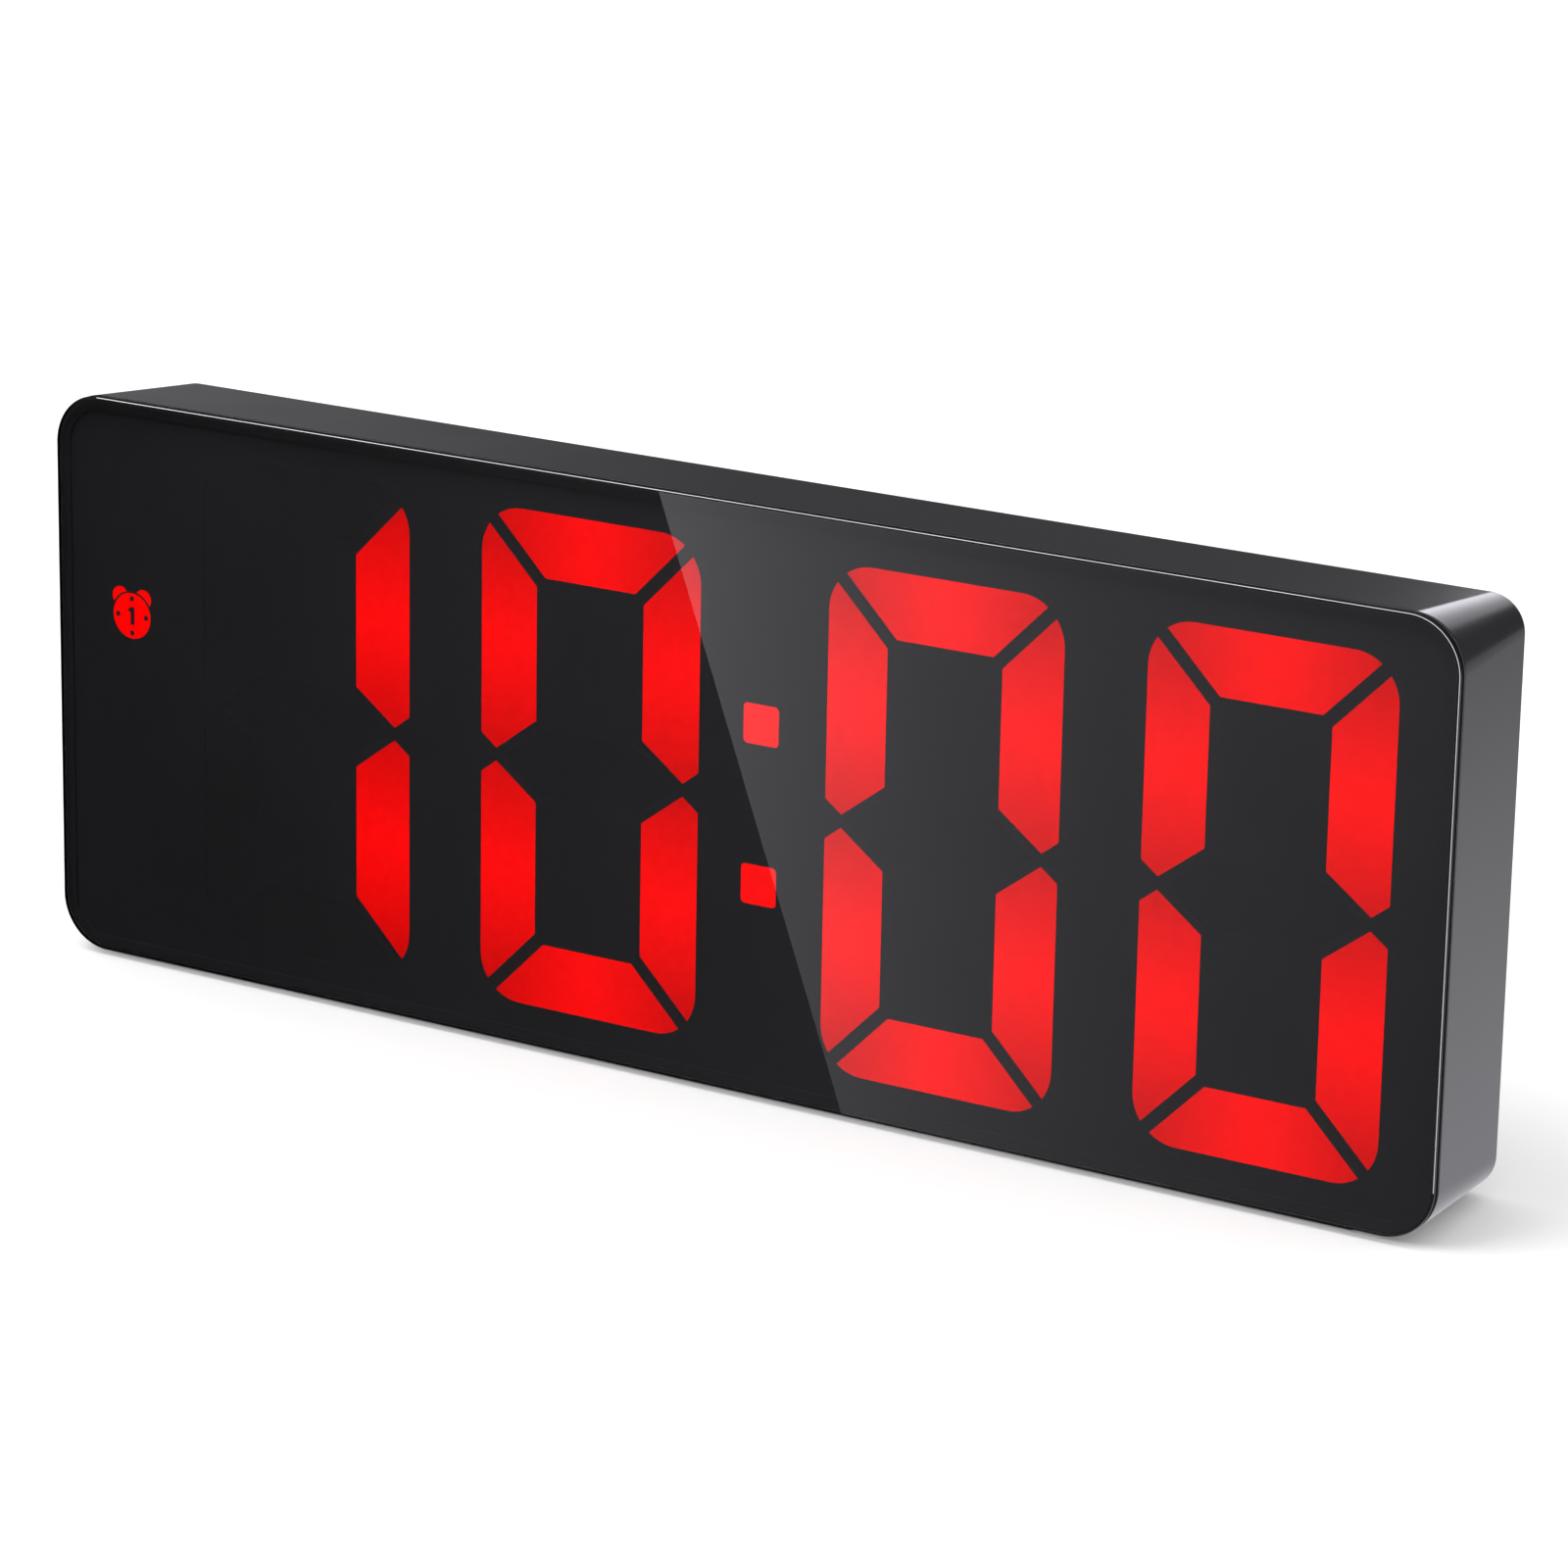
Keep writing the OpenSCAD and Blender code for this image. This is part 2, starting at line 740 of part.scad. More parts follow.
module battery_door() {
    half = door_w / 2;
    z1 = door_z0 + door_h;
    tab_t = 1.0;
    tab_rear_y = cover_y - move_gap;
    color([0.2, 0.2, 0.21]) difference() {
        union() {
            box(-half, rear_y - door_t, door_z0, half, rear_y, z1);
            // hinge tabs that hook in under the cover
            for (x = [-hinge_tab_x, hinge_tab_x]) {
                box(x - hinge_tab_w / 2, tab_rear_y - tab_t, door_z0,
                    x + hinge_tab_w / 2, rear_y - door_t + eps, door_z0 + 1.2);
                box(x - hinge_tab_w / 2, tab_rear_y - tab_t, door_z0 - 1.6,
                    x + hinge_tab_w / 2, tab_rear_y, door_z0 + 1.2);
            }
            // latch tongue
            box(-latch_w / 2, rear_y - door_t - 2.4, z1 - 1.3, latch_w / 2, rear_y - door_t + eps, z1 - 0.5);
        }
        // grip grooves
        for (k = [0:4])
            box(-7, rear_y - 0.35, z1 - 9 + k * 1.3, 7, rear_y + eps, z1 - 8.5 + k * 1.3);
    }
}

// ---------- buttons ----------

module button(i) {
    x = BUTTONS[i];
    half = button_w / 2;
    color([0.13, 0.13, 0.14]) {
        plate(flange_rear_y - flange_t / 2, cap_rear_y)
            rounded(x - half, button_z - button_h / 2, x + half, button_z + button_h / 2, 1.2);
        plate(flange_rear_y - flange_t, flange_rear_y)
            rounded(x - half - flange_lap, button_z - button_h / 2 - flange_lap,
                    x + half + flange_lap, button_z + button_h / 2 + flange_lap, 1.2);
        bar(x, button_z, 1.5, nub_y, flange_rear_y - flange_t / 2);
    }
}

module mode_button() { button(0); }
module set_button() { button(1); }
module down_button() { button(2); }
module up_button() { button(3); }
module snooze_button() { button(4); }

module button_board() {
    half = board_w / 2;
    color([0.05, 0.3, 0.14]) difference() {
        plate(board_y, board_y + board_t)
            rounded(-half, button_z - board_h / 2, half, button_z + board_h / 2, 1);
        for (x = [-post_x, post_x]) bar(x, button_z, 1.0, board_y - eps, board_y + board_t + eps);
    }
}

module tact_switches() {
    half = switch_side / 2;
    top = board_y + board_t + switch_body_t;
    color([0.12, 0.12, 0.12]) for (x = BUTTONS) {
        box(x - half, board_y + board_t, button_z - half, x + half, top, button_z + half);
        bar(x, button_z, 1.7, top - eps, switch_top_y);
    }
}

module board_screws() {
    color([0.75, 0.75, 0.76]) for (x = [-post_x, post_x])
        translate([x, board_y, button_z]) rotate([0, 0, 180]) pan_screw(1.6, 0.8, 0.75, 4);
}

// Flat cable between the button board and the main board
module button_cable() {
    x = -34;
    half = 3.2;
    color([0.8, 0.8, 0.78])
        box(x - half, pcb_rear_y, button_z - 0.4, x + half, board_y, button_z + 0.4);
}

// ---------- power inlet ----------

module usb_board() {
    z1 = usb_z - usb_h / 2;
    color([0.05, 0.3, 0.14])
        box(usb_x - usb_w / 2 - 2.4, usb_board_y, z1 - usb_board_t,
            usb_x + usb_w / 2 + 2.4, cover_y - 0.05, z1);
}

// Two wires from the power inlet to the main board
module power_leads() {
    z = usb_z - usb_h / 2 - usb_board_t / 2;
    color([0.7, 0.1, 0.1]) for (x = [usb_x - 1.5, usb_x + 1.5]) bar(x, z, 0.5, pcb_rear_y, usb_board_y);
}

module usb_socket() {
    skin = 0.3;
    y1 = rear_y - 0.4;
    color([0.8, 0.8, 0.82]) difference() {
        plate(y1 - usb_l, y1)
            rounded(usb_x - usb_w / 2, usb_z - usb_h / 2, usb_x + usb_w / 2, usb_z + usb_h / 2, 0.6);
        plate(y1 - usb_l + 1, y1 + eps)
            rounded(usb_x - usb_w / 2 + skin, usb_z - usb_h / 2 + skin,
                    usb_x + usb_w / 2 - skin, usb_z + usb_h / 2 - skin, 0.4);
    }
    color([0.1, 0.1, 0.1]) plate(y1 - usb_l + 1 - eps, y1 - 1)
        rounded(usb_x - 2.2, usb_z - 0.3, usb_x + 2.2, usb_z + 0.3, 0.1);
}

case_shell();
rear_cover();
front_lens();
lens_tape();
display_mask();
diffuser_film();
digit_1_segments();
digit_2_segments();
digit_3_segments();
digit_4_segments();
unlit_segments();
colon_dots();
alarm_symbol();
segment_reflector();
led_chips();
main_pcb();
reflector_screws();
controller_chip();
clock_crystal();
filter_capacitor();
chip_resistors();
buzzer();
button_board();
tact_switches();
board_screws();
button_cable();
usb_board();
usb_socket();
power_leads();
battery_cell_1();
battery_cell_2();
battery_cell_3();
battery_springs();
battery_contacts();
battery_lead_red();
battery_lead_black();
battery_door();
mode_button();
set_button();
up_button();
down_button();
snooze_button();
case_screws();
rubber_feet();
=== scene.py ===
"""Looks of the digital desk alarm clock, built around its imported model.

Metres, in the frame of the model: X is the width, -Y is the display side, +Z is up.
"""

import math

import bmesh
import bpy
from mathutils import Matrix, Vector


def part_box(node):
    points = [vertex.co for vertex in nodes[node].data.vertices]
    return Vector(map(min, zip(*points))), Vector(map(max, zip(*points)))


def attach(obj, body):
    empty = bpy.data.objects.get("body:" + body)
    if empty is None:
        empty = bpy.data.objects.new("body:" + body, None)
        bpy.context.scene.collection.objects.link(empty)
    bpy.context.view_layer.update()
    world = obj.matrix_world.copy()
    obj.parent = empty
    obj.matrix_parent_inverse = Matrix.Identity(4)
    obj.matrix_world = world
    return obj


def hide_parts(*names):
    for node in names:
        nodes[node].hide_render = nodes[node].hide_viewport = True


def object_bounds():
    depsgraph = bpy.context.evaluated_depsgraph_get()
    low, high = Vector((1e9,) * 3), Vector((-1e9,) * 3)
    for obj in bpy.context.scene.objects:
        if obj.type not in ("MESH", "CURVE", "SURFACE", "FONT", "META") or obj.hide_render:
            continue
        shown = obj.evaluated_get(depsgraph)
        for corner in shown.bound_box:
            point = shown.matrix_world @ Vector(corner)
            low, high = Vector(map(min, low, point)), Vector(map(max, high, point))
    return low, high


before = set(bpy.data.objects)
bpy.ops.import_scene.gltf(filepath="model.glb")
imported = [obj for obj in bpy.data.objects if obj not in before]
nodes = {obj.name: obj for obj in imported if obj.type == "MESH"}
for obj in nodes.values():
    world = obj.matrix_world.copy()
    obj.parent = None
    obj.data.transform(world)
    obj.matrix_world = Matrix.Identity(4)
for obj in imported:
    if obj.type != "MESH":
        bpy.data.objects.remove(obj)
cad_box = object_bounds()

MM = 0.001

# ---------- sizes ----------

case_lo, case_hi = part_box("case_shell")
lens_lo, lens_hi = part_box("front_lens")
cover_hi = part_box("rear_cover")[1]
zero_lo, zero_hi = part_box("digit_2_segments")

CORNER_R = 5.5 * MM         # corners of the case, seen from the front
CORNER_STEPS = 28           # facets of a rounded corner
WALL = 1.6 * MM
FIT_GAP = 0.15 * MM         # between the rear cover and the case
CASE_FRONT_EDGE = 0.15 * MM  # small radius on the front edge of the case
CASE_REAR_EDGE = 1.0 * MM
CASE_SUPPORT = 0.25 * MM    # flat margin beside a rounded edge of the case
LENS_BEVEL = 0.2 * MM
LENS_SOFT = 0.04 * MM       # rounding of the bevel's two edges
LENS_MARGIN = 0.24 * MM     # flat margin at the edges of the clear panel
LENS_STEP = 0.35 * MM       # from the front of the lens to the rear of its seam
LENS_JOIN = 0.002 * MM      # hairline between the bevel, the seam and the clear panel
LENS_REBATE = 0.35 * MM     # how far the lens steps in behind its seam
LENS_CLEARANCE = 0.01 * MM  # air between the lens and the printed film
SCREW_HEAD_R = 2.3 * MM
BOSS_R = 2.9 * MM           # posts that the case screws bite into
PILOT_R = 1.2 * MM
BOSS_DEPTH = 9 * MM
PAD_GAP = 3.6 * MM          # from the rear of the case to the end of a post
PANEL_EDGE = 0.12 * MM      # rounding of the rear panel and of the battery door
CAP_EDGE = 0.3 * MM
SCREW_EDGE = 0.15 * MM
PAD_EDGE = 0.25 * MM
SOCKET_EDGE = 0.05 * MM

side_taper = case_hi.x - cover_hi.x - FIT_GAP - WALL
top_taper = case_hi.z - cover_hi.z - FIT_GAP - WALL
digit_width = zero_hi.x - zero_lo.x
digit_height = zero_hi.z - zero_lo.z

# ---------- mesh helpers ----------

DISC_STEPS = 24
WELD = 0.002 * MM                   # points nearer to each other than this are joined
FLAT_ANGLE = math.radians(0.5)      # faces that differ by less are made one
ROUNDED_ANGLE = math.radians(40)    # edges of a CAD node that are sharper than this are rounded
ROUNDED_STEPS = 3
SMOOTH_ANGLE = math.radians(35)     # edges less sharp than this are shaded smooth


def rounded_loop(half, low, high, radius, y):
    """Points round a rounded rectangle at depth y, anticlockwise seen from the front."""
    corners = [
        (half - radius, low + radius, -90), (half - radius, high - radius, 0),
        (radius - half, high - radius, 90), (radius - half, low + radius, 180),
    ]
    points = []
    for x, z, start in corners:
        for step in range(CORNER_STEPS + 1):
            angle = math.radians(start + 90 * step / CORNER_STEPS)
            points.append(Vector((x + radius * math.cos(angle), y, z + radius * math.sin(angle))))
    return points


def disc(x, z, radius, y):
    """Points round a circle at depth y, anticlockwise seen from the front."""
    turns = [2 * math.pi * step / DISC_STEPS for step in range(DISC_STEPS)]
    return [Vector((x + radius * math.cos(t), y, z + radius * math.sin(t))) for t in turns]


def loft(bm, loops, closed=False, caps=False):
    """Joins equal loops of points by bands of faces, with the ends joined to each other or capped."""
    rings = [[bm.verts.new(point) for point in loop] for loop in loops]
    pairs = list(zip(rings, rings[1:]))
    if closed:
        pairs.append((rings[-1], rings[0]))
    for ring, following in pairs:
        for k in range(len(ring)):
            after = (k + 1) % len(ring)
            bm.faces.new((ring[k], ring[after], following[after], following[k]))
    if caps:
        bm.faces.new(list(reversed(rings[0])))
        bm.faces.new(rings[-1])


def arc(centre_a, centre_b, radius, start, end, steps):
    """Points (a, b) along an arc, its ends included."""
    angles = [math.radians(start + (end - start) * k / steps) for k in range(steps + 1)]
    return [(centre_a + radius * math.cos(t), centre_b + radius * math.sin(t)) for t in angles]


def new_piece(name, bm, body, finish, replaced=()):
    """Turns bm into a smooth-shaded piece that rides on a body."""
    bmesh.ops.recalc_face_normals(bm, faces=bm.faces)
    mesh = bpy.data.meshes.new(name)
    bm.to_mesh(mesh)
    bm.free()
    mesh.shade_smooth()
    mesh.set_sharp_from_angle(angle=SMOOTH_ANGLE)
    piece = bpy.data.objects.new(name, mesh)
    bpy.context.scene.collection.objects.link(piece)
    mesh.materials.append(finish)
    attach(piece, body)
    if replaced:
        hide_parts(*replaced)
    return piece


def carved(mesh, tool_bm):
    """A copy of the mesh with the tool's shape cut out of it."""
    tool_mesh = bpy.data.meshes.new("tool")
    tool_bm.to_mesh(tool_mesh)
    tool_bm.free()
    solid = bpy.data.objects.new("solid", mesh)
    tool = bpy.data.objects.new("tool", tool_mesh)
    for part in (solid, tool):
        bpy.context.scene.collection.objects.link(part)
    cut = solid.modifiers.new("cut", "BOOLEAN")
    cut.object = tool
    cut.operation = "DIFFERENCE"
    cut.solver = "EXACT"
    graph = bpy.context.evaluated_depsgraph_get()
    result = bpy.data.meshes.new_from_object(solid.evaluated_get(graph))
    for part in (solid, tool):
        bpy.data.objects.remove(part)
    return result


def refined(name, node, body, slot, edge, tool=None):
    """A piece with the CAD node's shape and softly rounded edges, less the shape of a tool."""
    bm = bmesh.new()
    bm.from_mesh(carved(nodes[node].data, tool) if tool else nodes[node].data)
    bmesh.ops.remove_doubles(bm, verts=bm.verts, dist=WELD)
    bmesh.ops.dissolve_limit(bm, angle_limit=FLAT_ANGLE, verts=bm.verts, edges=bm.edges)
    corners = [e for e in bm.edges if len(e.link_faces) == 2 and e.calc_face_angle() > ROUNDED_ANGLE]
    bmesh.ops.bevel(bm, geom=corners, offset=edge, segments=ROUNDED_STEPS, profile=0.5, affect="EDGES",
                    clamp_overlap=True, loop_slide=False)
    bmesh.ops.remove_doubles(bm, verts=bm.verts, dist=WELD)
    piece = new_piece(name, bm, body, finishes[slot], (node,))
    even = piece.modifiers.new("even_shading", "WEIGHTED_NORMAL")
    even.weight = 100
    even.keep_sharp = True


# ---------- material helpers ----------

NOISE_LOW = 0.3             # a noise stays mostly between these two values
NOISE_HIGH = 0.7
PATCH_SCALE = 70
PATCH_DETAIL = 4.0
EDGE_BEND = (0.53, 0.66)    # pointiness where wear starts and where it is full
EDGE_SHADE = 1.9            # how much paler a worn edge is
GLOSS_SPREAD = 0.12         # how far the roughness strays from its middle, as a share of it


def new_tree(name):
    made = bpy.data.materials.new(name)
    made.use_nodes = True
    made.node_tree.nodes.clear()
    return made, made.node_tree


def add(tree, kind, inputs=None, **settings):
    """Adds a shader node. Its inputs are plain values or sockets, by name or number."""
    made = tree.nodes.new("ShaderNode" + kind)
    for key, value in settings.items():
        setattr(made, key, value)
    for key, value in (inputs or {}).items():
        if isinstance(value, bpy.types.NodeSocket):
            tree.links.new(value, made.inputs[key])
        else:
            made.inputs[key].default_value = value
    return made


def place_in_object(tree):
    return add(tree, "TexCoord").outputs["Object"]


def split(tree, place):
    return add(tree, "SeparateXYZ", {0: place}).outputs


def noise(tree, place, scale, detail=2.0):
    return add(tree, "TexNoise", {"Vector": place, "Scale": scale, "Detail": detail}).outputs["Fac"]


def maths(tree, operation, *values):
    inputs = dict(enumerate(values))
    return add(tree, "Math", inputs, operation=operation).outputs[0]


def span(tree, value, low, high, out_low=0.0, out_high=1.0):
    """Turns a value between low and high into one between out_low and out_high."""
    ends = {"Value": value, 1: low, 2: high, 3: out_low, 4: out_high}
    return add(tree, "MapRange", ends).outputs[0]


def ramp(tree, factor, stops, interpolation="LINEAR"):
    made = add(tree, "ValToRGB", {"Fac": factor})
    made.color_ramp.interpolation = interpolation
    points = made.color_ramp.elements
    while len(points) < len(stops):
        points.new(1.0)
    for point, (position, colour) in zip(points, stops):
        point.position = position
        point.color = (*colour, 1.0)
    return made.outputs["Color"]


def shade(colour, share):
    return tuple(min(1.0, part * share) for part in colour)


def finish_material(tree, shader):
    add(tree, "OutputMaterial", {"Surface": shader.outputs[0]})


def surface(name, colour, rough, vary=0.12, grain=2600, relief=0.004, wear=0.25, metallic=0.0, ior=1.5,
            pattern=None):
    """A solid surface: uneven colour and gloss, a fine relief, and slightly rubbed edges."""
    made, tree = new_tree(name)
    place = place_in_object(tree)
    patches = noise(tree, place, PATCH_SCALE, PATCH_DETAIL)
    fine = noise(tree, place, grain)
    if pattern:
        tone = pattern(tree, place)
    else:
        ends = [(NOISE_LOW, shade(colour, 1 - vary)), (NOISE_HIGH, shade(colour, 1 + vary))]
        tone = ramp(tree, patches, ends)
    bend = add(tree, "NewGeometry").outputs["Pointiness"]
    edges = maths(tree, "MULTIPLY", span(tree, bend, *EDGE_BEND, 0.0, wear), patches)
    worn = (*shade(colour, EDGE_SHADE), 1.0)
    rubbed = add(tree, "Mix", {0: edges, 6: tone, 7: worn}, data_type="RGBA").outputs[2]
    gloss = span(tree, patches, NOISE_LOW, NOISE_HIGH, rough * (1 - GLOSS_SPREAD), rough * (1 + GLOSS_SPREAD))
    bumps = add(tree, "Bump", {"Strength": 1.0, "Distance": relief * MM, "Height": fine})
    shader = add(tree, "BsdfPrincipled", {
        "Base Color": rubbed, "Roughness": gloss, "Metallic": metallic, "IOR": ior,
        "Normal": bumps.outputs[0],
    })
    finish_material(tree, shader)
    return made


def even_surface(name, colour, rough, ior=1.5):
    """A surface that is nearly the same all over."""
    return surface(name, colour, rough, vary=0.04, relief=0.0, wear=0.0, ior=ior)


# ---------- materials ----------

LED_RED = (1.0, 0.0, 0.0)
BAR_RED = (0.30, 0.36)       # red of the plastic of a lit bar, from patch to patch
LENS_TINT = (0.42, 0.42, 0.43)
FILM_TINT = (0.96, 0.96, 0.96)
ACRYLIC_IOR = 1.49
EDGE_IOR = 1.9               # more than acrylic, so that the bevel gives a bright line
FILM_IOR = 1.03
GLOW_PEAK = 1.75             # light of a bar over its diodes
GLOW_VARY = 0.01
GLOW_FALL = 70.0             # how much of it is lost for each metre away from them
GLOW_ROUND = 1.5 * MM        # size of the soft top of that slope
UPRIGHT_SHIFT = 11.8 * MM    # from the middle of a digit to the diodes of an upright bar
BOARD_GREEN = (0.012, 0.085, 0.032)
BOARD_DARK = (0.010, 0.070, 0.028)
BOARD_TRACK = (0.03, 0.16, 0.06)
CELL_STEEL = (0.55, 0.55, 0.53)
CELL_GREEN = (0.03, 0.09, 0.06)
CELL_BAND = (0.72, 0.42, 0.08)


def smoked_acrylic():
    """Dark polished acrylic, with a trace of unevenness in its gloss."""
    made, tree = new_tree("smoked_acrylic")
    smear = noise(tree, place_in_object(tree), scale=26.0, detail=3.0)
    gloss = span(tree, smear, 0.4, NOISE_HIGH, out_low=0.0, out_high=0.01)
    shader = add(tree, "BsdfPrincipled", {
        "Base Color": (*LENS_TINT, 1.0), "Roughness": gloss, "IOR": ACRYLIC_IOR,
        "Transmission Weight": 1.0,
    })
    finish_material(tree, shader)
    return made


def diffuser():
    """Thin frosted film that the bars shine through."""
    made, tree = new_tree("diffuser")
    frost = noise(tree, place_in_object(tree), scale=3000.0)
    gloss = span(tree, frost, NOISE_LOW, NOISE_HIGH, out_low=0.15, out_high=0.25)
    shader = add(tree, "BsdfPrincipled", {
        "Base Color": (*FILM_TINT, 1.0), "Roughness": gloss, "IOR": FILM_IOR,
        "Transmission Weight": 1.0,
    })
    finish_material(tree, shader)
    return made


def away_from_diodes(tree, place, centre):
    """Distance along a bar from its diodes, for the bars of a digit round a centre."""
    x, _, z = split(tree, place)
    across = maths(tree, "ABSOLUTE", maths(tree, "SUBTRACT", x, centre.x))
    up = maths(tree, "ABSOLUTE", maths(tree, "SUBTRACT", z, centre.z))
    side_room = maths(tree, "SUBTRACT", digit_width / 2, across)
    end_room = maths(tree, "SUBTRACT", digit_height / 2, up)
    upright = maths(tree, "LESS_THAN", side_room, end_room)
    along = maths(tree, "ABSOLUTE", maths(tree, "SUBTRACT", up, UPRIGHT_SHIFT))
    return add(tree, "Mix", {0: upright, 2: across, 3: along}).outputs[0]


def lit_bar(name, centre=None):
    """Red diffusing plastic lit from behind.

    With the centre of a digit, each bar is brightest over its diodes and darker towards its ends.
    """
    made, tree = new_tree(name)
    place = place_in_object(tree)
    cloud = noise(tree, place, scale=900.0)
    low, high = BAR_RED
    tone = ramp(tree, cloud, [(NOISE_LOW, (low, 0.0, 0.0)), (NOISE_HIGH, (high, 0.0, 0.0))])
    gloss = span(tree, cloud, NOISE_LOW, NOISE_HIGH, out_low=0.45, out_high=0.6)
    dim, bright = GLOW_PEAK * (1 - GLOW_VARY), GLOW_PEAK * (1 + GLOW_VARY)
    light = span(tree, cloud, NOISE_LOW, NOISE_HIGH, dim, bright)
    if centre:
        reach = away_from_diodes(tree, place, centre)
        square = maths(tree, "MULTIPLY_ADD", reach, reach, GLOW_ROUND ** 2)
        slope = maths(tree, "SUBTRACT", maths(tree, "SQRT", square), GLOW_ROUND)
        light = maths(tree, "SUBTRACT", light, maths(tree, "MULTIPLY", slope, GLOW_FALL))
    shader = add(tree, "BsdfPrincipled", {
        "Base Color": tone, "Roughness": gloss, "Emission Color": (*LED_RED, 1.0),
        "Emission Strength": light,
    })
    finish_material(tree, shader)
    return made


def board_pattern(tree, place):
    """Green solder mask with paler lines where the copper runs under it."""
    spun = add(tree, "Mapping", {"Vector": place, "Rotation": (math.radians(90), 0, 0)}).outputs[0]
    bricks = add(tree, "TexBrick", {
        "Vector": spun, "Color1": (*BOARD_GREEN, 1), "Color2": (*BOARD_DARK, 1),
        "Mortar": (*BOARD_TRACK, 1), "Scale": 120.0, "Mortar Size": 0.02, "Brick Width": 0.9,
        "Row Height": 0.22,
    })
    return bricks.outputs[0]


def cell_pattern(node, way):
    """Sleeve of a battery cell: a dark body, a coloured band next to its plus end, and bare ends.

    The stops are shares of the cell's length. way is 1 if its plus end is at +X, or else -1.
    """
    low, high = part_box(node)
    ends = (low.x, high.x) if way > 0 else (high.x, low.x)
    stops = [(0.0, CELL_STEEL), (0.02, CELL_GREEN), (0.72, CELL_BAND), (0.965, CELL_STEEL)]

    def paint(tree, place):
        across = split(tree, place)[0]
        return ramp(tree, span(tree, across, *ends), stops, "CONSTANT")

    return paint


finishes = {
    "case_plastic": surface("case_plastic", (0.016, 0.016, 0.0172), 0.20, relief=0.0012),
    "cover_plastic": surface("cover_plastic", (0.018, 0.018, 0.019), 0.46, grain=1700, relief=0.02),
    "smoked_acrylic": smoked_acrylic(),
    "black_tape": even_surface("black_tape", (0.079, 0.079, 0.0845), 0.8),
    "black_print": even_surface("black_print", (0.079, 0.079, 0.0845), 0.7),
    "diffuser": diffuser(),
    "lit_red": lit_bar("lit_red"),
    # painted light: the unlit bars are paler than the black print to make up for the dimmer light they get
    # behind the mask and the film, so that both read as one black
    "unlit": even_surface("unlit", (0.109, 0.109, 0.1165), 0.7),
    "reflector_plastic": surface("reflector_plastic", (0.75, 0.75, 0.72), 0.4),
    "led_body": surface("led_body", (0.85, 0.76, 0.45), 0.35),
    "circuit_board": surface("circuit_board", BOARD_GREEN, 0.35, pattern=board_pattern),
    "screw_steel": surface("screw_steel", (0.46, 0.46, 0.47), 0.32, metallic=1.0, grain=1400),
    "chip_plastic": surface("chip_plastic", (0.02, 0.02, 0.02), 0.6, relief=0.01),
    "crystal_can": surface("crystal_can", (0.6, 0.6, 0.62), 0.25, metallic=1.0),
    "capacitor_sleeve": surface("capacitor_sleeve", (0.01, 0.014, 0.05), 0.3),
    "resistor_body": surface("resistor_body", (0.02, 0.02, 0.02), 0.4),
    "buzzer_plastic": surface("buzzer_plastic", (0.015, 0.015, 0.016), 0.5),
    "switch_plastic": surface("switch_plastic", (0.02, 0.02, 0.02), 0.5),
    "cable_white": surface("cable_white", (0.7, 0.7, 0.67), 0.45),
    "socket_steel": surface("socket_steel", (0.55, 0.55, 0.56), 0.3, metallic=1.0, grain=1400),
    "wire_red": surface("wire_red", (0.5, 0.01, 0.01), 0.4),
    "wire_black": surface("wire_black", (0.012, 0.012, 0.012), 0.4),
    "cell_sleeve": surface("cell_sleeve", CELL_GREEN, 0.28),
    "spring_steel": surface("spring_steel", (0.6, 0.6, 0.58), 0.25, metallic=1.0),
    "contact_steel": surface("contact_steel", (0.62, 0.62, 0.6), 0.3, metallic=1.0),
    "button_plastic": surface("button_plastic", (0.012, 0.012, 0.013), 0.38, relief=0.006),
    "foot_rubber": surface("foot_rubber", (0.012, 0.012, 0.012), 0.85, relief=0.02),
}
polished_edge = even_surface("lens_edge", (0.012, 0.012, 0.013), 0.04, EDGE_IOR)
# partly painted shade: the dark side of the lens, darkened to near black so that it shows as the shaded seam
# between lens and case
seam_shade_paint = even_surface("lens_seam", (0.004, 0.004, 0.004), 0.5)
icon_paint = surface("icon_paint", (0.42, 0.42, 0.43), 0.5, vary=0.15, wear=0.5)

for node in nodes.values():
    for used in node.material_slots:
        used.material = finishes[used.name.split(".")[0]]

for number in (1, 2, 3, 4):
    node = nodes[f"digit_{number}_segments"]
    low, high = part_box(node.name)
    digit_centre = Vector((high.x - digit_width / 2, 0, (low.z + high.z) / 2))
    node.material_slots[0].material = lit_bar(f"lit_digit_{number}", digit_centre)

for number, way in ((1, 1), (2, -1), (3, 1)):
    name = f"battery_cell_{number}"
    sleeve = surface(f"sleeve_{number}", CELL_GREEN, 0.28, pattern=cell_pattern(name, way))
    nodes[name].material_slots[0].material = sleeve

for name in ("diffuser_film", "display_mask"):
    nodes[name].visible_shadow = False      # the studio light reaches the bars behind these films

# ---------- case ----------


def case_loop(inset, y):
    """Outline of the case at depth y, brought in by an amount."""
    reach = (y - case_lo.y) / (case_hi.y - CASE_REAR_EDGE - case_lo.y)
    share = min(1.0, max(0.0, reach))
    half = case_hi.x - side_taper * share - inset
    high = case_hi.z - top_taper * share - inset
    return rounded_loop(half, case_lo.z + inset, high, CORNER_R - side_taper * share - inset, y)


